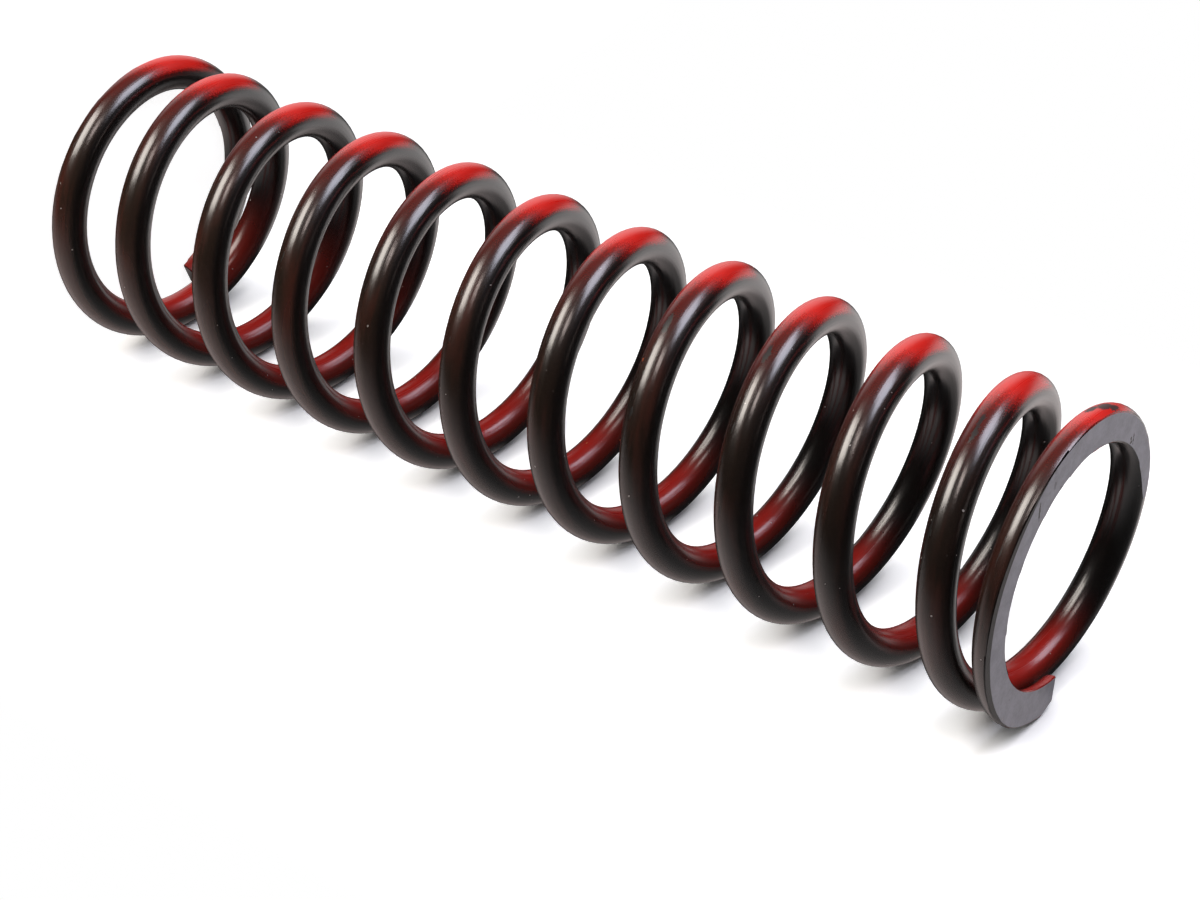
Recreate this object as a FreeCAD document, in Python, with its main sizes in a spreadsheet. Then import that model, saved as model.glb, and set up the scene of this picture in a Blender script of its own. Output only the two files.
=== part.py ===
import FreeCAD, Part

import math
import os

# Compression spring of a coil-over shock absorber, wound from one round wire, with
# both ends closed and ground flat. The spring stands on its lower ground end: its axis
# is +Z, z = 0 is the lower seat and the origin is the middle of that seat.
# Lengths are millimetres and angles are degrees.

# Driving dimensions: name, value, meaning
DIMENSIONS = [
    ("wire_diameter", 9.75, "diameter of the round wire"),
    ("inner_diameter", 63.5, "clear bore inside the coils, the spring's nominal size"),
    ("free_length", 304.8, "from ground face to ground face, unloaded"),
    ("total_turns", 11.935, "turns of wire from tip to tip"),
    ("lower_tip_angle", 19.2, "place of the lower tip round the axis, from +X"),
    ("tip_thickness", 4.4, "wire left at each tip after grinding"),
    ("tip_gap", 0.6, "clearance between each tip and the coil next to it"),
    ("closed_turns", 0.35, "turns beside each tip wound at the small closed pitch"),
    ("closing_turns", 0.93, "turns over which the pitch grows to the working pitch"),
    ("corner_across", 2.2, "corner broken off each tip, measured across the wire"),
    ("corner_along", 6.0, "corner broken off each tip, measured along the wire"),
]
POINTS_PER_TURN = 24
VOLUME_TOLERANCE = 0.001

os.makedirs("parts", exist_ok=True)
doc = FreeCAD.newDocument("shock_spring")
sheet = doc.addObject("Spreadsheet::Sheet", "Dimensions")
for row, (alias, value, meaning) in enumerate(DIMENSIONS, start=1):
    sheet.set(f"A{row}", alias)
    sheet.set(f"B{row}", str(value))
    sheet.set(f"C{row}", meaning)
    sheet.setAlias(f"B{row}", alias)
doc.recompute()


def size(alias):
    """A driving dimension, read from the sheet."""
    return float(sheet.get(alias))


wire_radius = size("wire_diameter") / 2
coil_radius = (size("inner_diameter") + size("wire_diameter")) / 2
turns_in_all = size("total_turns")


# Pitch law: beside each tip the pitch is small over closed_turns, then it grows
# smoothly over closing_turns to the working pitch of the open coils.

def turns_lost(turns):
    """Turns of working pitch that the closed end takes away, this far from its tip."""
    share = (turns - size("closed_turns")) / size("closing_turns")
    share = min(max(share, 0.0), 1.0)
    blended = size("closing_turns") * (share - share ** 3 + share ** 4 / 2)
    return min(turns, size("closed_turns")) + blended


# Two facts fix the pitches: one turn from its tip the wire clears the tip by tip_gap,
# and the ground faces lie free_length apart.
first_climb = size("wire_diameter") + size("tip_gap")
whole_climb = size("free_length") + size("wire_diameter") - 2 * size("tip_thickness")
pitch_drop = (whole_climb - turns_in_all * first_climb) / (
    turns_in_all * turns_lost(1) - 2 * turns_lost(turns_in_all)
)
working_pitch = first_climb + pitch_drop * turns_lost(1)


def wire_centre(turns):
    """Point on the wire's centre line, this many turns above the lower tip."""
    lost = turns_lost(turns) + turns_lost(turns_in_all) - turns_lost(turns_in_all - turns)
    climb = working_pitch * turns - pitch_drop * lost
    angle = math.radians(size("lower_tip_angle") + 360 * turns)
    tip_height = size("tip_thickness") - wire_radius
    return FreeCAD.Vector(
        coil_radius * math.cos(angle),
        coil_radius * math.sin(angle),
        tip_height + climb,
    )


# Wire path and its round section, which stands square to the path at the lower tip
point_count = math.ceil(turns_in_all * POINTS_PER_TURN)
path_points = [wire_centre(turns_in_all * i / point_count) for i in range(point_count + 1)]
centre_line = Part.BSplineCurve()
centre_line.interpolate(path_points)
path = doc.addObject("Part::Feature", "wire_path")
path.Label = "wire_path"
path.Shape = Part.Wire([centre_line.toShape()])

section = doc.addObject("Part::Circle", "wire_section")
section.Label = "wire_section"
section.setExpression("Radius", "Dimensions.wire_diameter / 2")
section.Placement = FreeCAD.Placement(
    path_points[0],
    FreeCAD.Rotation(FreeCAD.Vector(0, 0, 1), centre_line.tangent(centre_line.FirstParameter)[0]),
)

wound_wire = doc.addObject("Part::Sweep", "wound_wire")
wound_wire.Label = "wound_wire"
wound_wire.Sections = [section]
wound_wire.Spine = (path, ["Edge1"])
wound_wire.Solid = True
wound_wire.Frenet = True


# Cutters: two wide slabs grind the ends flat, and two blocks break the tips' corners

def grinding_slab(name, height):
    """Slab over a whole end of the spring, with its lower face at the given height."""
    slab = doc.addObject("Part::Box", name)
    slab.Label = name
    width = "(Dimensions.inner_diameter + 4 * Dimensions.wire_diameter)"
    slab.setExpression("Length", width)
    slab.setExpression("Width", width)
    slab.setExpression("Height", "2 * Dimensions.wire_diameter")
    slab.setExpression("Placement.Base.x", f"-{width} / 2")
    slab.setExpression("Placement.Base.y", f"-{width} / 2")
    slab.setExpression("Placement.Base.z", height)
    return slab


def corner_block(name, tip, low, turn_sign):
    """Block that breaks the outer corner off a tip, standing from the height low up.

    turn_sign is +1 where the wire would go on anticlockwise past the tip, seen from
    above, and -1 where it would go on clockwise. The block passes the tip by tip_gap
    on its ground side and outside, and by half of that towards the next coil, which
    it leaves whole.
    """
    block = doc.addObject("Part::Box", name)
    block.Label = name
    slant = "sqrt(Dimensions.corner_across ^ 2 + Dimensions.corner_along ^ 2)"
    depth = f"Dimensions.corner_across * Dimensions.corner_along / {slant}"
    block.setExpression("Length", f"{slant} + 2 * Dimensions.tip_gap")
    block.setExpression("Width", f"{depth} + Dimensions.tip_gap")
    block.setExpression("Height", "Dimensions.tip_thickness + 1.5 * Dimensions.tip_gap")
    doc.recompute()
    upright = FreeCAD.Vector(0, 0, 1)
    tip_angle = math.degrees(math.atan2(tip.y, tip.x))
    lean = math.degrees(math.atan2(size("corner_along"), size("corner_across")))
    at_tip = FreeCAD.Placement(FreeCAD.Vector(tip.x, tip.y, low), FreeCAD.Rotation(upright, tip_angle))
    at_corner = FreeCAD.Placement(
        FreeCAD.Vector(wire_radius - size("corner_across"), 0, 0),
        FreeCAD.Rotation(upright, -turn_sign * lean),
    )
    outward = 0 if turn_sign > 0 else -block.Width.Value
    start = FreeCAD.Placement(FreeCAD.Vector(-size("tip_gap"), outward, 0), FreeCAD.Rotation())
    block.Placement = at_tip * at_corner * start
    return block


upper_corner_low = size("free_length") - size("tip_thickness") - size("tip_gap") / 2
cutters = doc.addObject("Part::MultiFuse", "cutters")
cutters.Label = "cutters"
cutters.Shapes = [
    grinding_slab("lower_slab", "-2 * Dimensions.wire_diameter"),
    grinding_slab("upper_slab", "Dimensions.free_length"),
    corner_block("lower_corner", path_points[0], -size("tip_gap"), -1),
    corner_block("upper_corner", path_points[-1], upper_corner_low, 1),
]

spring = doc.addObject("Part::Cut", "coil_spring")
spring.Label = "coil_spring"
spring.Base = wound_wire
spring.Tool = cutters

# Build, check and write out
doc.recompute()
for item in doc.Objects:
    if "Invalid" in item.State or "Error" in item.State:
        raise RuntimeError(f"{item.Label} failed: {item.State}")

wire_length = centre_line.length()
round_volume = math.pi * wire_radius ** 2 * wire_length
if abs(wound_wire.Shape.Volume / round_volume - 1) > VOLUME_TOLERANCE:
    raise RuntimeError("the wound wire doesn't have its section's volume")

for sub_part in [spring]:
    shape = sub_part.Shape
    if shape.isNull() or not shape.isValid() or len(shape.Solids) != 1:
        raise RuntimeError(f"{sub_part.Label} isn't one valid solid")
    shape.exportStep(f"parts/{sub_part.Label}.step")
    box = shape.BoundBox
    print(sub_part.Label, "volume", round(shape.Volume, 1), "box", box)
print("working pitch", round(working_pitch, 3), "closed pitch", round(working_pitch - pitch_drop, 3))
print("wire length", round(wire_length, 1))
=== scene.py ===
import math

import bpy
from bpy.props import FloatProperty, FloatVectorProperty, IntProperty, PointerProperty
from mathutils import Matrix, Vector


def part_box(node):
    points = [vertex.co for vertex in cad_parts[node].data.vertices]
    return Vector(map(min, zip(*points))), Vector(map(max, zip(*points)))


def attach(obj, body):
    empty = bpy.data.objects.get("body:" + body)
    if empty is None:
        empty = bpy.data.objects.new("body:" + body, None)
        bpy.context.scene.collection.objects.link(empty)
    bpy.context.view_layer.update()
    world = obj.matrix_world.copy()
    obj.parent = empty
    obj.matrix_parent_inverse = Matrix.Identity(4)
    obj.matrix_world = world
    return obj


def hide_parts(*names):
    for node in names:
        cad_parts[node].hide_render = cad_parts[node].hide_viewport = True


bl_info = {
    "name": "Shock Spring",
    "version": (1, 0, 0),
    "blender": (4, 5, 0),
    "location": "View3D > Sidebar > Shock Spring",
    "description": "Winds, grinds and paints a coil-over spring and sets up its studio",
    "category": "Object",
}

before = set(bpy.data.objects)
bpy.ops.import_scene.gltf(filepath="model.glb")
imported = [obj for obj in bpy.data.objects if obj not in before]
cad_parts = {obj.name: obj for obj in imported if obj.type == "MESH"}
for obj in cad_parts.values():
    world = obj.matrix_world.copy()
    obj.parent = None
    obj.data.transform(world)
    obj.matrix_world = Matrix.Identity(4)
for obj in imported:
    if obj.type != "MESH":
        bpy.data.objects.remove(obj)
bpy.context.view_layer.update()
NODE = "coil_spring"
LOWEST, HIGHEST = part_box(NODE)
MM = 0.001
CUT_TOLERANCE = 0.001 * MM
END_TOLERANCE = 0.01 * MM
SMOOTH_BELOW = math.radians(25)
SHARP_ABOVE = math.radians(35)
LEVEL_NORMAL = 0.999

# The photo shows the spring lying down and the model stands, so the photo's directions
# are turned: its up is -X, its near end is the upper one and its far side is +Y.
PHOTO_UP = Vector((-1, 0, 0))
PHOTO_BACK = Vector((0, 1, 0))
PHOTO_NEAR = Vector((0, 0, 1))


def photo_direction(near, back, up):
    """Direction with these parts towards the photo's near end, back and top."""
    return (PHOTO_NEAR * near + PHOTO_BACK * back + PHOTO_UP * up).normalized()


# Sizes and colours

class SpringSizes(bpy.types.PropertyGroup):
    """Sizes of the wound wire, the same as the solid's."""

    wire_diameter: FloatProperty(
        name="Wire diameter", description="Diameter of the round wire",
        default=9.75 * MM, subtype="DISTANCE", unit="LENGTH",
    )
    outer_diameter: FloatProperty(
        name="Outer diameter", description="Outer diameter of the coils",
        default=83 * MM, subtype="DISTANCE", unit="LENGTH",
    )
    free_length: FloatProperty(
        name="Free length", description="From ground face to ground face",
        default=HIGHEST[2] - LOWEST[2], subtype="DISTANCE", unit="LENGTH",
    )
    total_turns: FloatProperty(
        name="Turns", description="Turns of wire from tip to tip", default=11.935,
    )
    lower_tip_angle: FloatProperty(
        name="Lower tip", description="Place of the lower tip round the axis, from +X",
        default=math.radians(19.2), subtype="ANGLE", unit="ROTATION",
    )
    tip_thickness: FloatProperty(
        name="Tip thickness", description="Wire left at each tip after grinding",
        default=4.4 * MM, subtype="DISTANCE", unit="LENGTH",
    )
    tip_gap: FloatProperty(
        name="Tip gap", description="Clearance between each tip and the coil next to it",
        default=0.6 * MM, subtype="DISTANCE", unit="LENGTH",
    )
    closed_turns: FloatProperty(
        name="Closed turns", description="Turns beside each tip wound at the closed pitch",
        default=0.35,
    )
    closing_turns: FloatProperty(
        name="Closing turns", description="Turns over which the pitch opens up",
        default=0.93,
    )
    edge_break: FloatProperty(
        name="Edge break", description="Width of the broken edge round the ground faces",
        default=0.3 * MM, subtype="DISTANCE", unit="LENGTH",
    )
    corner_across: FloatProperty(
        name="Corner across", description="Corner broken off each tip, across the wire",
        default=2.2 * MM, subtype="DISTANCE", unit="LENGTH",
    )
    corner_along: FloatProperty(
        name="Corner along", description="Corner broken off each tip, along the wire",
        default=6 * MM, subtype="DISTANCE", unit="LENGTH",
    )
    sides: IntProperty(
        name="Sides", description="Faces round the wire's section", default=72,
    )
    first_cuts: IntProperty(
        name="First cuts", description="Cuts along the bar in the first pass", default=27,
    )
    second_cuts: IntProperty(
        name="Second cuts", description="Cuts of each of those lengths", default=35,
    )


class PaintColours(bpy.types.PropertyGroup):
    """Colours of the wire's finishes."""

    enamel: FloatVectorProperty(
        name="Enamel", description="Black enamel under the overspray",
        default=(0.006, 0.0045, 0.004), subtype="COLOR", size=3,
    )
    brown: FloatVectorProperty(
        name="Brown", description="Enamel with a fine dust of the red on it",
        default=(0.034, 0.019, 0.012), subtype="COLOR", size=3,
    )
    mist: FloatVectorProperty(
        name="Mist", description="Enamel with a thin mist of the red on it",
        default=(0.085, 0.020, 0.012), subtype="COLOR", size=3,
    )
    # Lighter brown low on the front: a haze of the overspray, and a painted reflection of the pale
    # surface under the spring
    haze_and_sheen: FloatVectorProperty(
        name="Haze", description="Dry haze of overspray low on the front",
        default=(0.085, 0.045, 0.036), subtype="COLOR", size=3,
    )
    maroon: FloatVectorProperty(
        name="Maroon", description="Thin coat of the red over the enamel",
        default=(0.14, 0.010, 0.006), subtype="COLOR", size=3,
    )
    red: FloatVectorProperty(
        name="Red", description="Full coat of the overspray",
        default=(0.90, 0.014, 0.006), subtype="COLOR", size=3,
    )
    steel: FloatVectorProperty(
        name="Ground steel", description="Dull steel of the ground faces",
        default=(0.405, 0.402, 0.452), subtype="COLOR", size=3,
    )
    stain: FloatVectorProperty(
        name="Stain", description="Smudges and marks on the ground faces",
        default=(0.05, 0.045, 0.04), subtype="COLOR", size=3,
    )
    primer: FloatVectorProperty(
        name="Primer", description="Orange primer where the paint is chipped",
        default=(0.45, 0.09, 0.03), subtype="COLOR", size=3,
    )
    # Also the colour of the painted glints on the ground face
    dust: FloatVectorProperty(
        name="Dust", description="Pale specks of dust on the paint",
        default=(0.45, 0.42, 0.40), subtype="COLOR", size=3,
    )


# Steps for shaping a mesh

def start_edit(piece, elements):
    """Makes a piece the only selected object, with none of its elements selected."""
    bpy.ops.object.select_all(action="DESELECT")
    piece.select_set(True)
    bpy.context.view_layer.objects.active = piece
    bpy.ops.object.mode_set(mode="EDIT")
    bpy.ops.mesh.select_mode(type=elements)
    bpy.ops.mesh.select_all(action="DESELECT")
    bpy.ops.object.mode_set(mode="OBJECT")


def select_edges(piece, test):
    """Opens a piece in edit mode with the edges selected whose two ends pass a test."""
    start_edit(piece, "EDGE")
    points = piece.data.vertices
    for edge in piece.data.edges:
        edge.select = test(*(points[i].co for i in edge.vertices))
    bpy.ops.object.mode_set(mode="EDIT")


def select_faces(piece, test):
    """Opens a piece in edit mode with the faces selected that pass a test."""
    start_edit(piece, "FACE")
    for face in piece.data.polygons:
        face.select = test(face)
    bpy.ops.object.mode_set(mode="EDIT")


def cut_off(piece, point, outward, near=lambda face: True):
    """Cuts away what lies beyond a plane and closes the cut, on the faces that pass a test."""
    select_faces(piece, near)
    bpy.ops.mesh.bisect(
        plane_co=point, plane_no=outward, use_fill=True, clear_outer=True, threshold=CUT_TOLERANCE,
    )
    bpy.ops.object.mode_set(mode="OBJECT")


# The wound wire

def turns_lost(sizes, turns):
    """Turns of working pitch that a closed end takes away, this far from its tip."""
    share = (turns - sizes.closed_turns) / sizes.closing_turns
    share = min(max(share, 0.0), 1.0)
    blended = sizes.closing_turns * (share - share ** 3 + share ** 4 / 2)
    return min(turns, sizes.closed_turns) + blended


def wire_path(sizes, points_per_turn=120):
    """Points on the wire's centre line, from the lower tip to the upper one."""
    radius = (sizes.outer_diameter - sizes.wire_diameter) / 2
    first_climb = sizes.wire_diameter + sizes.tip_gap
    whole_climb = sizes.free_length + sizes.wire_diameter - 2 * sizes.tip_thickness
    whole_lost = turns_lost(sizes, sizes.total_turns)
    pitch_drop = (whole_climb - sizes.total_turns * first_climb) / (
        sizes.total_turns * turns_lost(sizes, 1) - 2 * whole_lost
    )
    working_pitch = first_climb + pitch_drop * turns_lost(sizes, 1)
    tip_height = sizes.tip_thickness - sizes.wire_diameter / 2
    count = math.ceil(sizes.total_turns * points_per_turn)
    points = []
    for step in range(count + 1):
        turns = sizes.total_turns * step / count
        lost = turns_lost(sizes, turns) + whole_lost
        lost = lost - turns_lost(sizes, sizes.total_turns - turns)
        angle = sizes.lower_tip_angle + math.tau * turns
        height = tip_height + working_pitch * turns - pitch_drop * lost
        points.append(Vector((radius * math.cos(angle), radius * math.sin(angle), height)))
    return points


def path_length(points):
    """Length of the line through the points."""
    return sum((after - before).length for before, after in zip(points, points[1:]))


def bar_place(sizes, points, turns, angle):
    """Place on the straight bar's surface, these turns of wire before the upper tip.

    The angle goes round the section, from 0 on the outside of the coils to 90 degrees
    on the side of the lower end.
    """
    step = round((1 - turns / sizes.total_turns) * (len(points) - 1))
    across = sizes.wire_diameter / 2 * math.cos(math.radians(angle))
    up = sizes.wire_diameter / 2 * math.sin(math.radians(angle))
    return (path_length(points[:step + 1]), -across, -up)


def straight_bar(sizes, length):
    """The wire before it is wound: a round bar along +X, cut into short lengths."""
    bpy.ops.object.select_all(action="DESELECT")
    bpy.ops.mesh.primitive_cylinder_add(
        vertices=sizes.sides, radius=sizes.wire_diameter / 2, depth=length,
        end_fill_type="NGON", location=(length / 2, 0, 0), rotation=(0, math.pi / 2, 0),
    )
    bar = bpy.context.active_object
    bar.name = "wound_wire"
    bpy.ops.object.transform_apply(location=True, rotation=True, scale=True)
    for cuts in (sizes.first_cuts, sizes.second_cuts):
        select_edges(bar, lambda a, b: abs(a.x - b.x) > sizes.wire_diameter / 100)
        bpy.ops.mesh.subdivide(number_cuts=cuts)
        bpy.ops.object.mode_set(mode="OBJECT")
    return bar


def keep_bar_places(bar):
    """Stores each point's place on the straight bar, for the finishes to follow the wire.

    X runs along the wire, Y towards the spring's axis and Z up.
    """
    places = bar.data.attributes.new("bar", "FLOAT_VECTOR", "POINT")
    flat = [0.0] * (3 * len(bar.data.vertices))
    bar.data.vertices.foreach_get("co", flat)
    places.data.foreach_set("vector", flat)


def wind(bar, points):
    """Winds the bar along the points with a curve modifier."""
    route = bpy.data.curves.new("winding_path", "CURVE")
    route.dimensions = "3D"
    route.twist_mode = "Z_UP"
    line = route.splines.new("POLY")
    line.points.add(len(points) - 1)
    for place, point in zip(line.points, points):
        place.co = (*point, 1)
    path = bpy.data.objects.new("winding_path", route)
    bpy.context.collection.objects.link(path)
    bpy.ops.object.select_all(action="DESELECT")
    bar.select_set(True)
    bpy.context.view_layer.objects.active = bar
    bend = bar.modifiers.new("wind", "CURVE")
    bend.object = path
    bend.deform_axis = "POS_X"
    bpy.ops.object.modifier_apply(modifier=bend.name)
    bpy.data.objects.remove(path)
    bpy.data.curves.remove(route)


def break_corner(wire, sizes, tip, beyond):
    """Cuts the outer corner off a tip; beyond points out of the wire's end."""
    outward = Vector((tip.x, tip.y, 0)).normalized()
    across, along = sizes.corner_across, sizes.corner_along
    corner = tip + outward * (sizes.wire_diameter / 2 - across)
    slope = (outward * along + beyond * across).normalized()

    def near_tip(face):
        from_tip = face.center - tip
        behind_tip = from_tip.dot(beyond) < sizes.tip_gap / 4
        clear_of_next_coil = abs(from_tip.z) < (sizes.wire_diameter + sizes.tip_gap) / 2
        return behind_tip and clear_of_next_coil and from_tip.length < 1.5 * along

    cut_off(wire, corner, slope, near_tip)


def is_ground(sizes, face):
    """True for the flat faces of the two ground ends."""
    height = face.center.z
    at_end = height < END_TOLERANCE or height > sizes.free_length - END_TOLERANCE
    return at_end and abs(face.normal.z) > LEVEL_NORMAL


def break_edges(wire, sizes):
    """Breaks the sharp edges round the ground faces."""
    select_faces(wire, lambda face: is_ground(sizes, face))
    bpy.ops.mesh.remove_doubles(threshold=sizes.edge_break)
    bpy.ops.object.mode_set(mode="OBJECT")
    bevel = wire.modifiers.new("broken_edges", "BEVEL")
    bevel.width = sizes.edge_break
    bevel.segments = 1
    bevel.limit_method = "ANGLE"
    bevel.angle_limit = SHARP_ABOVE
    bevel.use_clamp_overlap = False
    bpy.ops.object.modifier_apply(modifier=bevel.name)


def finish_edges(wire):
    """Makes the ground faces flat, and the edges sharp where they meet the paint."""
    mesh = wire.data
    finishes = {}
    for face in mesh.polygons:
        face.use_smooth = face.material_index == 0
        for key in face.edge_keys:
            finishes.setdefault(key, set()).add(face.material_index)
    for edge in mesh.edges:
        if len(finishes[edge.key]) > 1:
            edge.use_edge_sharp = True


class SPRING_OT_wind_wire(bpy.types.Operator):
    """Winds the wire, grinds both ends flat and breaks the tips' corners"""

    bl_idname = "shock_spring.wind_wire"
    bl_label = "Wind the wire"

    def execute(self, context):
        sizes = context.scene.spring_sizes
        points = wire_path(sizes)
        wire = straight_bar(sizes, path_length(points))
        keep_bar_places(wire)
        wind(wire, points)
        break_corner(wire, sizes, points[0], (points[0] - points[1]).normalized())
        break_corner(wire, sizes, points[-1], (points[-1] - points[-2]).normalized())
        cut_off(wire, (0, 0, 0), (0, 0, -1))
        cut_off(wire, (0, 0, sizes.free_length), (0, 0, 1))
        break_edges(wire, sizes)
        colours = context.scene.paint_colours
        wire.data.materials.append(paint_finish(colours, sizes, points))
        wire.data.materials.append(ground_finish(colours, sizes))
        for face in wire.data.polygons:
            face.material_index = 1 if is_ground(sizes, face) else 0
        bpy.ops.object.shade_smooth_by_angle(angle=SMOOTH_BELOW)
        finish_edges(wire)
        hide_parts(NODE)
        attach(wire, "root")
        return {"FINISHED"}


# Steps for building a finish out of nodes

class Finish:
    """A material's or the world's nodes under construction."""

    def __init__(self, owner):
        owner.use_nodes = True
        self.owner = owner
        self.tree = owner.node_tree
        self.tree.nodes.clear()

    def add(self, kind, *inputs, **settings):
        """Adds a node, with its settings and, in order, what its inputs are given."""
        made = self.tree.nodes.new(kind)
        for name, value in settings.items():
            setattr(made, name, value)
        for socket, value in zip(made.inputs, inputs):
            self.give(socket, value)
        return made

    def give(self, socket, value):
        """Links a socket to another node's output, or writes a value on it."""
        if isinstance(value, bpy.types.NodeSocket):
            self.tree.links.new(value, socket)
        elif value is not None:
            socket.default_value = value

    def calc(self, operation, *inputs):
        """Result of a sum on numbers."""
        return self.add("ShaderNodeMath", *inputs, operation=operation).outputs[0]

    def vector(self, operation, *inputs):
        """Result of a sum on vectors."""
        made = self.add("ShaderNodeVectorMath", *inputs, operation=operation)
        return made.outputs["Value" if operation in ("DOT_PRODUCT", "LENGTH") else "Vector"]

    def parts(self, vector):
        """The X, Y and Z of a vector."""
        return self.add("ShaderNodeSeparateXYZ", vector).outputs

    def pattern(self, places, scale, detail):
        """A noise pattern with this many waves to a metre."""
        made = self.add("ShaderNodeTexNoise", places)
        made.inputs["Scale"].default_value = scale
        made.inputs["Detail"].default_value = detail
        return made.outputs

    def noise(self, places, scale, detail):
        """Noise about 0, mostly from -1 to 1."""
        return self.calc("MULTIPLY_ADD", self.pattern(places, scale, detail)["Fac"], 4.0, -2.0)

    def shaken(self, places, drawn, scale, reach):
        """The places, each moved a little by noise, which makes the edges of marks ragged."""
        shift = self.pattern(drawn, scale, detail=2)["Color"]
        shift = self.vector("SUBTRACT", shift, (0.5, 0.5, 0.5))
        return self.vector("ADD", places, self.vector("SCALE", shift, None, None, reach))

    def product(self, *shares):
        """All the shares multiplied together."""
        total = shares[0]
        for share in shares[1:]:
            total = self.calc("MULTIPLY", total, share)
        return total

    def spots(self, places, spots, soft):
        """1 inside rounded spots of these centres and half sizes, and 0 outside them."""
        spotted = 0.0
        for centre, size in spots:
            own = self.add("ShaderNodeMapping", places, vector_type="TEXTURE")
            own.inputs["Location"].default_value = centre
            own.inputs["Scale"].default_value = size
            spot = self.between(self.vector("LENGTH", own.outputs[0]), 1.0, soft)
            spotted = self.calc("MAXIMUM", spot, spotted)
        return spotted

    def between(self, value, low, high, smooth=True):
        """0 at the value low and before it, 1 at the value high and past it."""
        curve = "SMOOTHSTEP" if smooth else "LINEAR"
        made = self.add("ShaderNodeMapRange", interpolation_type=curve)
        self.give(made.inputs["Value"], value)
        self.give(made.inputs["From Min"], low)
        self.give(made.inputs["From Max"], high)
        return made.outputs["Result"]

    def blend(self, share, first, second):
        """Colour that goes from the first to the second with the share."""
        made = self.add("ShaderNodeMix", data_type="RGBA")
        for name, value in (("Factor_Float", share), ("A_Color", first), ("B_Color", second)):
            socket = next(s for s in made.inputs if s.identifier == name)
            if not isinstance(value, (bpy.types.NodeSocket, float)):
                value = (*value, 1)
            self.give(socket, value)
        return next(s for s in made.outputs if s.identifier == "Result_Color")

    def bumps(self, height, strength, depth):
        """The normal of a surface with bumps of this depth."""
        made = self.add("ShaderNodeBump")
        made.inputs["Strength"].default_value = strength
        made.inputs["Distance"].default_value = depth
        self.give(made.inputs["Height"], height)
        return made.outputs[0]

    def coat(self, values):
        """Ends a material with a surface that has these values, and returns it."""
        made = self.add("ShaderNodeBsdfPrincipled")
        for name, value in values.items():
            self.give(made.inputs[name], value)
        return self.end(made.outputs[0])

    def end(self, surface):
        """Ends a material with this surface, and returns it."""
        self.add("ShaderNodeOutputMaterial", surface)
        return self.owner


# Finishes

# The red was sprayed from above: round the coils it is centred on SPRAY_AT on their
# outside, and SPRAY_ROUND points from there round to their front.
SPRAY_AT = photo_direction(0, 0.26, 0.97)
SPRAY_ROUND = photo_direction(0, -0.97, 0.26)
SPRAY_INSIDE = photo_direction(0.15, 0.3, 0.94)

# Limits of the coats: where each starts, and where it is full. Top, under, front and back
# lie round the coils, as cosines from the directions above. Outer, inner and side are the
# lean of the surface, away from the axis and along it. Depth is in shares of the radius.
# A start past -1 is never reached, so part of that coat goes all the way under.
OUTSIDE = {"top": (0.0, 0.3), "outer": (0.0, 0.3)}
RED = {"back": (-0.46, -0.2), "front": (0.44, 0.12), "side": (0.97, 0.80)}
MAROON = {"back": (-0.55, -0.3), "front": (0.85, 0.35), "side": (0.85, 0.2)}
DUSTED = {"front": (0.1, 0.45), "under": (-1.3, -0.65), "side": (0.9, 0.6), "outer": (-0.1, 0.4)}
# Where the lighter brown low on the front lies: overspray haze, and a painted reflection of the
# surface below
HAZE_AND_SHEEN = (0.25, -0.45)
WITHIN = {"inner": (0.25, -0.1), "under": (0.2, -0.2), "back": (-0.9, -0.5), "depth": (-0.9, -0.5)}
RED_WITHIN = (0.5, 0.95)
MAROON_WITHIN = (0.15, 0.75)
DULL_WITHIN = (0.0, 0.6)
DASHES = {
    "pattern": (0.5, 0.7), "outer": (-0.1, -0.2), "side": (-0.6, -0.45),
    "top": (0.8, 0.6), "under": (-0.35, -0.1), "front": (0.3, 0.5),
}

# Patterns: waves to a metre, and how far they are drawn out along the wire
STREAK_SCALE, STREAK_DRAW = 1500, (0.025, 1, 1)
PATCH_SCALE, PATCH_DRAW = 170, (0.25, 1, 1)
DASH_SCALE, DASH_DRAW = 1100, (0.2, 1, 1)
RAGGED_SCALE, RAGGED_DRAW = 1800, (0.6, 1, 1)
GRAIN_SCALE = 2600
DUST_SCALE = 1000
CLOUD_SCALE = 220
GRIT_SCALE = 1400
SPOT_EDGE = 0.6

PAINT_IOR = 1.9
PAINT_ROUGHNESS = 0.24
PAINT_RELIEF = 0.016 * MM
STEEL_METALLIC = 0.5
STEEL_ROUGHNESS = 0.42
STEEL_RELIEF = 0.02 * MM

# Marks on the wire: turns before the upper tip, angle round the section in degrees,
# and half sizes along and across the wire in mm.
BLACK_BLOTCHES = ((4.425, 8, 3.6, 1.1), (3.428, 11, 3.2, 1.0), (1.449, 7, 2.4, 0.9), (1.430, 5, 3.4, 0.8))
BARE_PATCH = ((0.524, 20, 3.0, 1.5), (0.538, 2, 3.6, 1.9), (0.553, -16, 2.6, 1.5))
CHIPS = ((4.378, 38, 0.5, 0.4), (5.944, 174, 0.6, 0.4), (5.916, -110, 0.4, 0.4))

# Marks on the upper ground face: radius in mm, angle from +X in degrees, half sizes
# across and up the photo in mm.
FACE_STAINS = (
    (40.9, 201.3, 0.7, 1.6), (36.3, 203.5, 0.7, 1.5), (32.6, 200.0, 0.7, 1.0),
    (34.6, 106.8, 0.35, 0.5), (35.6, 100.5, 0.3, 0.4), (35.2, 310.6, 0.3, 0.3),
)
FACE_SCRATCHES = (
    (36.6, 215.4, 0.4, 3.2), (34.0, 133.8, 0.9, 0.5), (34.7, 135.2, 0.4, 0.9),
    (35.2, 132.9, 0.3, 2.2), (32.0, 218.9, 0.5, 1.5),
)
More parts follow.
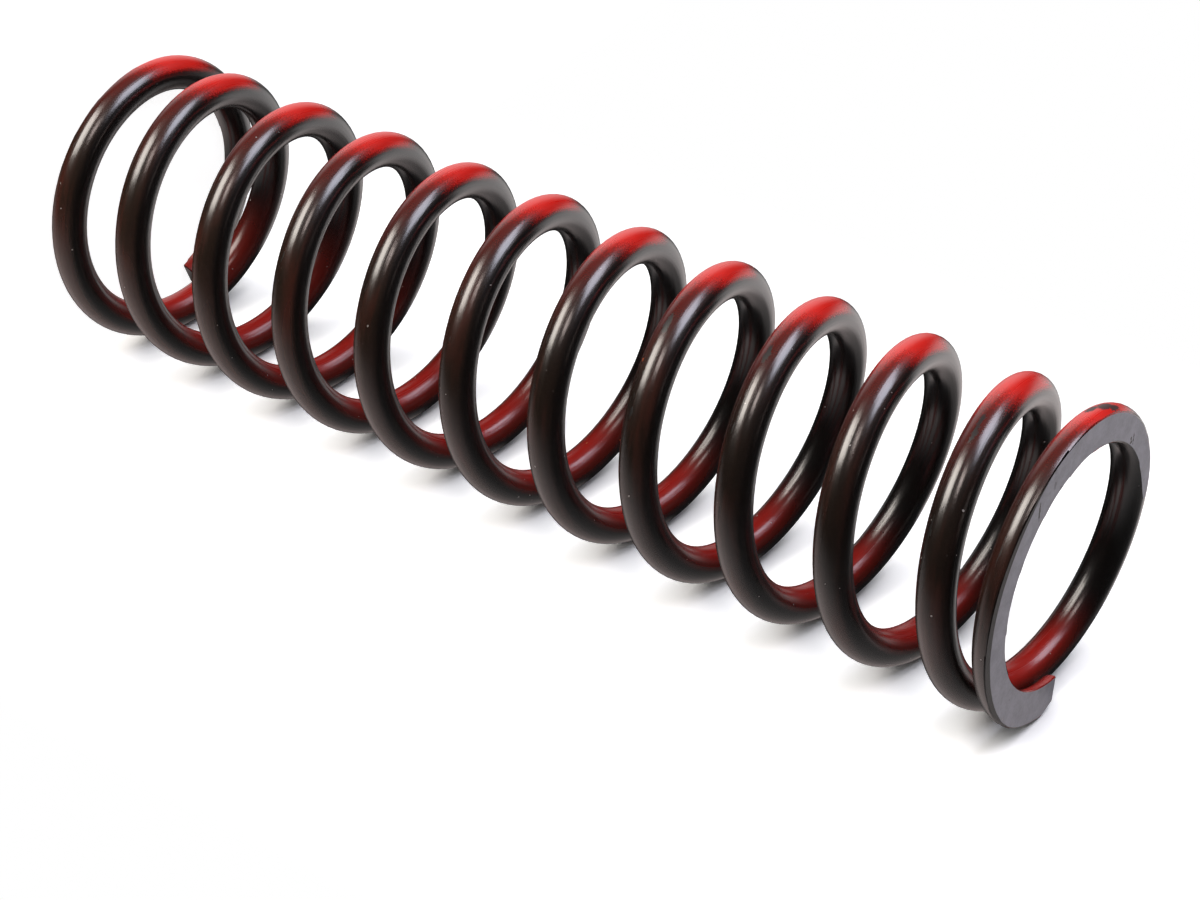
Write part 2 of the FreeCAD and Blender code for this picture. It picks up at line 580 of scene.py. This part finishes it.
# The glints are painted highlights: pale spots of light on the steel
FACE_GLINTS = ((33.0, 217.2, 0.5, 0.6), (40.1, 313.0, 0.4, 0.4))
MARK_DEPTH = 1 * MM
MARK_EDGE = 0.65
MARK_RAGGED_SCALE = 1500

# Strip of paint that the wheel missed, along the outer edge of the upper ground face
STRIP_MIDDLE = photo_direction(0, -1, 0.2)
STRIP_WIDTH = 2.7 * MM


def bar_spots(sizes, points, marks):
    """Centres and half sizes of marks, on the straight bar."""
    return [
        (bar_place(sizes, points, turns, angle), (along * MM, across * MM, across * MM))
        for turns, angle, along, across in marks
    ]


def paint_finish(colours, sizes, points):
    """Black enamel with red overspray from above, streaked along the wire."""
    made = Finish(bpy.data.materials.new("enamel_and_overspray"))
    place = made.add("ShaderNodeTexCoord").outputs
    bar = made.add("ShaderNodeAttribute", attribute_name="bar").outputs["Vector"]
    normal = place["Normal"]
    streaks = made.noise(made.vector("MULTIPLY", bar, STREAK_DRAW), STREAK_SCALE, detail=2)
    grain = made.noise(place["Object"], GRAIN_SCALE, detail=1)
    patches = made.noise(made.vector("MULTIPLY", bar, PATCH_DRAW), PATCH_SCALE, detail=3)

    # Where the surface lies: round the coils, on their outside or inside, and sideways
    radial = made.vector("NORMALIZE", made.vector("MULTIPLY", place["Object"], (1, 1, 0)))
    round_coil = made.vector("DOT_PRODUCT", radial, tuple(SPRAY_ROUND))
    above = made.vector("DOT_PRODUCT", radial, tuple(SPRAY_AT))
    outward = made.vector("DOT_PRODUCT", normal, radial)
    sideways = made.vector("DOT_PRODUCT", normal, tuple(PHOTO_NEAR))
    depth = made.vector("DOT_PRODUCT", place["Object"], tuple(PHOTO_BACK))
    height = made.vector("DOT_PRODUCT", place["Object"], tuple(PHOTO_NEAR))
    far = made.between(height, 0.75 * sizes.free_length, 0.1 * sizes.free_length, smooth=False)
    rough_edge = made.calc("MULTIPLY", streaks, 0.012)
    rough_edge = made.calc("MULTIPLY_ADD", grain, 0.06, rough_edge)
    rough_edge = made.calc("MULTIPLY_ADD", patches, 0.04, rough_edge)
    slant = made.calc("MULTIPLY_ADD", sideways, 0.12, made.calc("ADD", round_coil, rough_edge))
    outside = made.product(
        made.between(above, *OUTSIDE["top"]), made.between(outward, *OUTSIDE["outer"]),
    )
    side = made.calc("ADD", made.calc("ABSOLUTE", sideways), made.calc("MULTIPLY", rough_edge, 0.5))

    # Overspray on the outside of the coils
    back_limit = made.calc("ADD", round_coil, rough_edge)
    red = made.product(
        outside, made.between(back_limit, *RED["back"]), made.between(slant, *RED["front"]),
        made.between(side, *RED["side"]),
    )
    maroon = made.product(
        outside, made.between(back_limit, *MAROON["back"]), made.between(slant, *MAROON["front"]),
        made.between(sideways, *MAROON["side"]),
    )
    dusted = made.product(
        made.between(round_coil, *DUSTED["front"]), made.between(above, *DUSTED["under"]),
        made.between(sideways, *DUSTED["side"]), made.between(outward, *DUSTED["outer"]),
        made.calc("MULTIPLY_ADD", far, 0.5, 0.5),
    )
    brown = made.calc("MULTIPLY_ADD", patches, 0.25, made.calc("MULTIPLY_ADD", grain, 0.2, 0.8))
    brown = made.calc("MULTIPLY", dusted, brown)
    reddish = made.calc("MULTIPLY_ADD", streaks, 0.25, patches)
    reddish = made.calc("MULTIPLY", dusted, made.between(reddish, -0.3, 1.0))
    # Lighter brown low on the front of the far coils: overspray haze, and a painted reflection of
    # the pale surface under the spring
    haze_and_sheen_share = made.product(dusted, far, made.between(above, *HAZE_AND_SHEEN))

    # Overspray on the inside, through the gaps between the coils
    inside = made.vector("DOT_PRODUCT", normal, tuple(SPRAY_INSIDE))
    inside = made.calc("MULTIPLY_ADD", rough_edge, 0.6, inside)
    deeper = made.calc("MULTIPLY_ADD", far, 0.2, made.calc("ADD", inside, 0.12))
    within = made.product(
        made.between(outward, *WITHIN["inner"]), made.between(above, *WITHIN["under"]),
        made.between(made.calc("MULTIPLY_ADD", far, 0.3, round_coil), *WITHIN["back"]),
        made.between(depth, *(share * sizes.outer_diameter / 2 for share in WITHIN["depth"])),
    )
    red_within = made.product(within, made.between(inside, *RED_WITHIN), 0.36)
    red = made.calc("MAXIMUM", red, red_within)
    maroon_within = made.calc("MULTIPLY", within, made.between(deeper, *MAROON_WITHIN))
    maroon = made.calc("MAXIMUM", maroon, maroon_within)

    colour = made.blend(brown, tuple(colours.enamel), tuple(colours.brown))
    colour = made.blend(reddish, colour, tuple(colours.mist))
    colour = made.blend(haze_and_sheen_share, colour, tuple(colours.haze_and_sheen))
    colour = made.blend(maroon, colour, tuple(colours.maroon))
    colour = made.blend(red, colour, tuple(colours.red))

    # Marks: black blotches, dashes and a bare patch show black, chips show primer, and dust lies on
    # top
    shaken = made.shaken(bar, made.vector("MULTIPLY", bar, RAGGED_DRAW), RAGGED_SCALE, 1.8 * MM)
    black = made.spots(shaken, bar_spots(sizes, points, BLACK_BLOTCHES + BARE_PATCH), SPOT_EDGE)
    dashes = made.noise(made.vector("MULTIPLY", bar, DASH_DRAW), DASH_SCALE, detail=1)
    dashes = made.product(
        made.between(dashes, *DASHES["pattern"]),
        made.between(sideways, *DASHES["outer"]), made.between(sideways, *DASHES["side"]),
        made.between(above, *DASHES["top"]), made.between(above, *DASHES["under"]),
        made.between(round_coil, *DASHES["front"]),
    )
    black = made.calc("MAXIMUM", black, dashes)
    colour = made.blend(made.calc("MULTIPLY", black, 0.95), colour, tuple(colours.enamel))
    chipped = made.spots(shaken, bar_spots(sizes, points, CHIPS), SPOT_EDGE)
    colour = made.blend(chipped, colour, tuple(colours.primer))
    dust = made.noise(place["Object"], DUST_SCALE, detail=0)
    colour = made.blend(made.between(dust, 1.48, 1.56), colour, tuple(colours.dust))

    roughness = made.calc("MULTIPLY_ADD", red, 0.05, PAINT_ROUGHNESS)
    roughness = made.calc("MULTIPLY_ADD", streaks, 0.03, roughness)
    roughness = made.calc("MULTIPLY_ADD", black, 0.15, roughness)
    relief = made.calc("MULTIPLY", streaks, made.calc("MULTIPLY_ADD", red, -0.7, 1.0))
    relief = made.calc("MULTIPLY_ADD", grain, 0.25, relief)
    dull = made.calc("MULTIPLY", within, made.between(inside, *DULL_WITHIN))
    return made.coat({
        "Base Color": colour,
        "Roughness": roughness,
        "Normal": made.bumps(relief, 0.6, PAINT_RELIEF),
        "IOR": PAINT_IOR,
        "Specular IOR Level": made.calc("MULTIPLY_ADD", dull, -0.2, 0.5),
    })


def face_spots(sizes, marks):
    """Centres and half sizes of marks, on the upper ground face."""
    spots = []
    for radius, angle, across, up in marks:
        turned = math.radians(angle)
        flat = (radius * MM * math.cos(turned), radius * MM * math.sin(turned))
        spots.append(((*flat, sizes.free_length), (up * MM, across * MM, MARK_DEPTH)))
    return spots


def ground_finish(colours, sizes):
    """Dull ground steel with faint mottling, smudges and scratches, and painted glints."""
    made = Finish(bpy.data.materials.new("ground_steel"))
    place = made.add("ShaderNodeTexCoord").outputs["Object"]
    cloud = made.noise(place, CLOUD_SCALE, detail=3)
    grit = made.noise(place, GRIT_SCALE, detail=2)
    shade = made.between(made.calc("MULTIPLY_ADD", grit, 0.6, cloud), -1.4, 1.4)
    dark = tuple(0.72 * part for part in colours.steel)
    colour = made.blend(shade, dark, tuple(colours.steel))
    shaken = made.shaken(place, place, MARK_RAGGED_SCALE, 0.9 * MM)
    # Stains and scratches are marks on the steel; the glints are painted highlights, in the pale
    # dust colour
    for marks, finish, strength in (
        (FACE_STAINS, colours.stain, 0.45),
        (FACE_SCRATCHES, colours.stain, 0.95),
        (FACE_GLINTS, colours.dust, 1.0),
    ):
        marked = made.spots(shaken, face_spots(sizes, marks), MARK_EDGE)
        colour = made.blend(made.calc("MULTIPLY", marked, strength), colour, tuple(finish))

    # The wheel missed a strip of paint along the front outer edge of the upper face
    flat = made.vector("MULTIPLY", place, (1, 1, 0))
    facing = made.vector("DOT_PRODUCT", made.vector("NORMALIZE", flat), tuple(STRIP_MIDDLE))
    strip = made.product(
        made.between(facing, 0.3, 1.05), made.between(made.parts(place)[2], 0.1, 0.2), STRIP_WIDTH,
    )
    reach = made.calc("ADD", made.vector("LENGTH", flat), strip)
    reach = made.calc("MULTIPLY_ADD", cloud, 0.1 * MM, reach)
    outer_radius = sizes.outer_diameter / 2
    missed = made.between(reach, outer_radius - 0.15 * MM, outer_radius + 0.1 * MM)
    colour = made.blend(missed, colour, tuple(colours.enamel))
    return made.coat({
        "Base Color": colour,
        "Normal": made.bumps(grit, 0.5, STEEL_RELIEF),
        "Metallic": STEEL_METALLIC,
        "Roughness": STEEL_ROUGHNESS,
    })


# Studio

LENS = 88.14
SENSOR_WIDTH = 36.0
NEAREST_SEEN = 10 * MM
MIDDLE_HEIGHT = (LOWEST[2] + HIGHEST[2]) / 2
FLOOR_WIDTH = 6.0
TABLE_WIDTH = 1.2
TOUCH_REACH = 13 * MM
WHITE = (1, 1, 1, 1)

# The room that the paint's gloss shows: where its bright parts lie, and their strength
WINDOW_AT = photo_direction(-0.7, 0.7, 0.14)
LIT_TABLE_AT = photo_direction(0.15, 0.89, -0.42)
SHADED_TABLE_AT = photo_direction(-0.69, 0.58, -0.42)
ROOM_LIGHT = 0.01
OVERHEAD_LIGHT = 0.12
REAR_LIGHT = 0.09
WINDOW_LIGHT = 0.7
LIT_TABLE_LIGHT = 0.85
TABLE_TINT = (1, 0.86, 0.84)

# Soft boxes: name, direction from the spring, width, colour, and the light that each
# gives a white sheet square to it, where 1 is white
LAMP_DISTANCE = 1.5
LAMPS = (
    ("warm_soft_box", photo_direction(-0.496, -0.387, 0.777), 0.8, (1, 0.93, 0.86), 0.68),
    ("cool_soft_box", photo_direction(0.43, 0.38, 0.82), 0.8, (0.84, 0.86, 1), 0.5),
    ("small_soft_box", photo_direction(0.28, -0.34, 0.90), 0.35, (1, 0.85, 0.8), 0.10),
)


class StudioSettings(bpy.types.PropertyGroup):
    """Camera, lamps and ground of the studio."""

    camera_distance: FloatProperty(
        name="Camera distance", description="From the camera to where it looks",
        default=819.3 * MM, subtype="DISTANCE", unit="LENGTH",
    )
    camera_height: FloatProperty(
        name="Camera elevation", description="Above the surface that the spring lies on",
        default=math.radians(35.13), subtype="ANGLE", unit="ROTATION",
    )
    camera_bearing: FloatProperty(
        name="Camera bearing", description="From square on towards the near end",
        default=math.radians(36.39), subtype="ANGLE", unit="ROTATION",
    )
    camera_target: FloatVectorProperty(
        name="Camera target", description="Point that the camera looks at",
        default=(39.74 * MM, 18.09 * MM, 149.75 * MM), subtype="TRANSLATION", unit="LENGTH", size=3,
    )


def hang_lamps():
    """Hangs the soft boxes, each turned to the middle of the spring."""
    for name, direction, width, colour, light in LAMPS:
        data = bpy.data.lights.new(name, "AREA")
        data.shape = "SQUARE"
        data.size = width
        data.color = colour
        data.energy = light * math.pi ** 2 * LAMP_DISTANCE ** 2
        box = bpy.data.objects.new(name, data)
        box.location = Vector((0, 0, MIDDLE_HEIGHT)) + direction * LAMP_DISTANCE
        box.rotation_euler = direction.to_track_quat("Z", "Y").to_euler()
        bpy.context.collection.objects.link(box)


def aim_camera(settings):
    """Camera at the photograph's viewing angle."""
    bearing, height = settings.camera_bearing, settings.camera_height
    side = PHOTO_NEAR * math.sin(bearing) - PHOTO_BACK * math.cos(bearing)
    away = side * math.cos(height) + PHOTO_UP * math.sin(height)
    right = PHOTO_UP.cross(away).normalized()
    data = bpy.data.cameras.new("camera")
    data.lens = LENS
    data.sensor_width = SENSOR_WIDTH
    data.sensor_fit = "HORIZONTAL"
    data.clip_start = NEAREST_SEEN
    camera = bpy.data.objects.new("camera", data)
    turn = Matrix((right, away.cross(right), away)).transposed()
    camera.matrix_world = Matrix.Translation(
        Vector(settings.camera_target) + away * settings.camera_distance
    ) @ turn.to_4x4()
    bpy.context.collection.objects.link(camera)
    bpy.context.scene.camera = camera


def white_sheet(name, centre, normal, width, make_surface):
    """A flat stage sheet that its surface's maker finishes, clear from behind."""
    bpy.ops.object.select_all(action="DESELECT")
    turn = normal.to_track_quat("Z", "Y").to_euler()
    bpy.ops.mesh.primitive_plane_add(size=width, location=centre, rotation=turn)
    sheet = bpy.context.active_object
    sheet.name = name
    bpy.ops.object.transform_apply(location=True, rotation=True, scale=True)
    made = Finish(bpy.data.materials.new(name))
    surface = make_surface(made)
    clear = made.add("ShaderNodeBsdfTransparent").outputs[0]
    behind = made.add("ShaderNodeNewGeometry").outputs["Backfacing"]
    surface = made.add("ShaderNodeMixShader", behind, surface, clear).outputs[0]
    sheet.data.materials.append(made.end(surface))
    sheet.visible_shadow = False
    return sheet


def floor_surface(made):
    """Plain white, with a faint shadow near the spring."""
    place = made.add("ShaderNodeTexCoord").outputs["Object"]
    near = made.between(made.vector("LENGTH", place), 0.3, 0.1)
    lit = made.add("ShaderNodeBsdfDiffuse", (0.5, 0.5, 0.5, 1)).outputs[0]
    glow = made.add("ShaderNodeEmission", WHITE, 0.92).outputs[0]
    lifted = made.add("ShaderNodeAddShader", lit, glow).outputs[0]
    plain = made.add("ShaderNodeEmission", WHITE, 1.0).outputs[0]
    return made.add("ShaderNodeMixShader", near, plain, lifted).outputs[0]


def lying_surface(made):
    """White table under the lamps, lifted to plain white for the camera."""
    place = made.add("ShaderNodeTexCoord").outputs["Object"]
    depth, along = made.parts(place)[1:]
    from_middle = made.calc("ABSOLUTE", made.calc("SUBTRACT", along, MIDDLE_HEIGHT))
    beyond = made.calc("MAXIMUM", made.calc("SUBTRACT", from_middle, MIDDLE_HEIGHT), 0.0)
    distance = made.add("ShaderNodeCombineXYZ", depth, beyond, 0.0).outputs[0]
    distance = made.vector("LENGTH", distance)

    # The camera sees the contact shadows near the spring, and plain white farther off
    touch = made.add("ShaderNodeAmbientOcclusion", samples=8)
    touch.inputs["Distance"].default_value = TOUCH_REACH
    glow = made.calc("MULTIPLY", made.between(touch.outputs["AO"], 0.25, 0.95), 0.75)
    glow = made.add("ShaderNodeEmission", WHITE, glow).outputs[0]
    lit = made.add("ShaderNodeBsdfDiffuse", (0.9, 0.9, 0.9, 1)).outputs[0]
    lifted = made.add("ShaderNodeAddShader", lit, glow).outputs[0]
    plain = made.add("ShaderNodeEmission", WHITE, 1.0).outputs[0]
    near = made.between(distance, 0.16, 0.06)
    seen = made.add("ShaderNodeMixShader", near, plain, lifted).outputs[0]

    # The paint's gloss shows only a dim band of it, in the shade under the coils
    table = made.add("ShaderNodeBsdfDiffuse", (0.6, 0.6, 0.6, 1)).outputs[0]
    path = made.add("ShaderNodeLightPath").outputs
    shaded = made.product(
        made.between(depth, -4 * MM, 8 * MM), made.between(depth, 50 * MM, 38 * MM),
        made.between(beyond, 12 * MM, 0.0),
    )
    open_air = made.add("ShaderNodeBsdfTransparent").outputs[0]
    dim = made.add("ShaderNodeBsdfDiffuse", (0.05, 0.05, 0.05, 1)).outputs[0]
    mirrored = made.add("ShaderNodeMixShader", shaded, open_air, dim).outputs[0]
    table = made.add("ShaderNodeMixShader", path["Is Glossy Ray"], table, mirrored).outputs[0]
    direct = made.calc("MAXIMUM", path["Is Camera Ray"], path["Is Transmission Ray"])
    return made.add("ShaderNodeMixShader", direct, table, seen).outputs[0]


def studio_world():
    """Studio room: white to the camera, and a dim room with a few bright parts to the gloss."""
    world = bpy.data.worlds.new("studio")
    bpy.context.scene.world = world
    made = Finish(world)
    towards = made.add("ShaderNodeTexCoord").outputs["Generated"]
    directions = (PHOTO_UP, PHOTO_BACK, PHOTO_NEAR, WINDOW_AT, LIT_TABLE_AT, SHADED_TABLE_AT)
    up, back, near, panel, lit_table, shaded_table = (
        made.vector("DOT_PRODUCT", towards, tuple(direction)) for direction in directions
    )
    overhead = made.calc("MULTIPLY", made.between(up, 0.7, 0.98), OVERHEAD_LIGHT)
    rear = made.product(made.between(back, 0.2, 0.7), made.between(up, 0.2, 0.5), REAR_LIGHT)
    window = made.calc("MULTIPLY", made.between(panel, 0.8, 0.97), WINDOW_LIGHT)
    table = made.calc("MAXIMUM", made.calc("MULTIPLY_ADD", near, -0.5, 0.47), 0.05)
    table = made.product(
        table, made.between(up, -0.08, -0.75, smooth=False), made.between(shaded_table, 0.94, 0.75),
    )
    bright = made.calc("MULTIPLY", made.between(lit_table, 0.87, 0.98), LIT_TABLE_LIGHT)
    level = ROOM_LIGHT
    for part in (overhead, rear, window, table, bright):
        level = made.calc("ADD", part, level)
    path = made.add("ShaderNodeLightPath").outputs
    direct = made.calc("MAXIMUM", path["Is Camera Ray"], path["Is Transmission Ray"])
    indirect = made.calc("SUBTRACT", 1.0, direct)
    level = made.calc("ADD", made.calc("MULTIPLY", level, indirect), direct)
    warm = made.product(table, 2.0, indirect)
    tint = made.blend(warm, (1, 1, 1), TABLE_TINT)
    sky = made.add("ShaderNodeBackground", tint, level)
    made.add("ShaderNodeOutputWorld", sky.outputs[0])


class SPRING_OT_set_studio(bpy.types.Operator):
    """Sets up the floor, the surface that the photo's spring lies on, the lamps and camera"""

    bl_idname = "shock_spring.set_studio"
    bl_label = "Set up the studio"

    def execute(self, context):
        settings = context.scene.studio_settings
        sizes = context.scene.spring_sizes
        context.scene.view_settings.view_transform = "Standard"
        upright = Vector((0, 0, 1))
        floor = white_sheet("floor", Vector((0, 0, 0)), upright, FLOOR_WIDTH, floor_surface)
        floor.visible_diffuse = False
        floor.visible_glossy = False
        under = Vector((sizes.outer_diameter / 2, 0, sizes.free_length / 2))
        white_sheet("lying_surface", under, PHOTO_UP, TABLE_WIDTH, lying_surface)
        hang_lamps()
        studio_world()
        aim_camera(settings)
        return {"FINISHED"}


class SPRING_PT_panel(bpy.types.Panel):
    """Lists the steps that build the spring and its studio"""

    bl_idname = "SPRING_PT_panel"
    bl_label = "Shock Spring"
    bl_space_type = "VIEW_3D"
    bl_region_type = "UI"
    bl_category = "Shock Spring"

    def draw(self, context):
        for step in STEPS:
            self.layout.operator(step.bl_idname)


STEPS = (SPRING_OT_wind_wire, SPRING_OT_set_studio)
SETTINGS = {
    "spring_sizes": SpringSizes,
    "paint_colours": PaintColours,
    "studio_settings": StudioSettings,
}


def register():
    """Adds the settings, the steps and the panel to Blender."""
    for name, group in SETTINGS.items():
        bpy.utils.register_class(group)
        setattr(bpy.types.Scene, name, PointerProperty(type=group))
    for step in (*STEPS, SPRING_PT_panel):
        bpy.utils.register_class(step)


def unregister():
    """Takes the panel, the steps and the settings out of Blender again."""
    for step in (SPRING_PT_panel, *STEPS):
        bpy.utils.unregister_class(step)
    for name, group in SETTINGS.items():
        delattr(bpy.types.Scene, name)
        bpy.utils.unregister_class(group)


def main():
    register()
    bpy.ops.shock_spring.wind_wire()
    bpy.ops.shock_spring.set_studio()


if __name__ == "__main__":
    main()
